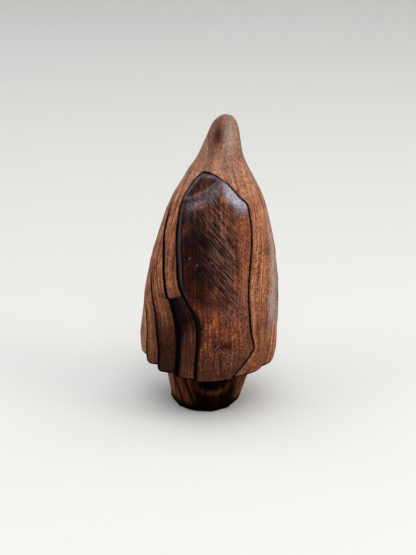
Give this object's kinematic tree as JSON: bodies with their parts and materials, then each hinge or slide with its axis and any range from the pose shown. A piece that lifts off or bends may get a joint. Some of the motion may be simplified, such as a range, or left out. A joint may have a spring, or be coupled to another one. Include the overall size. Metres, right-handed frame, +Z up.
{
  "type": "carved wooden figurine",
  "caption": "Hooded, cloaked figure carved in dark wood, with a raised panel let into its back and a short tapered foot.",
  "frame": {"origin": "on the ground under the middle of the figure's bounding box", "axes": "+Z up from the foot to the tip of the hood; the figure's back, with its panel, faces -Y; +X is to the right when looking at the back"},
  "size_m": [0.0572, 0.0568, 0.1207],
  "materials": {
    "cloak_wood": "oiled, hand-rubbed satin",
    "panel_wood": "stained dark and waxed to a gloss",
    "foot_wood": "scorched dark, oiled",
    "dowel_wood": "bare"
  },
  "bodies": {
    "root": {"cloak_block": "cloak_wood", "back_panel": "panel_wood", "foot_block": "foot_wood", "foot_dowel": "dowel_wood"}
  },
  "joints": []
}
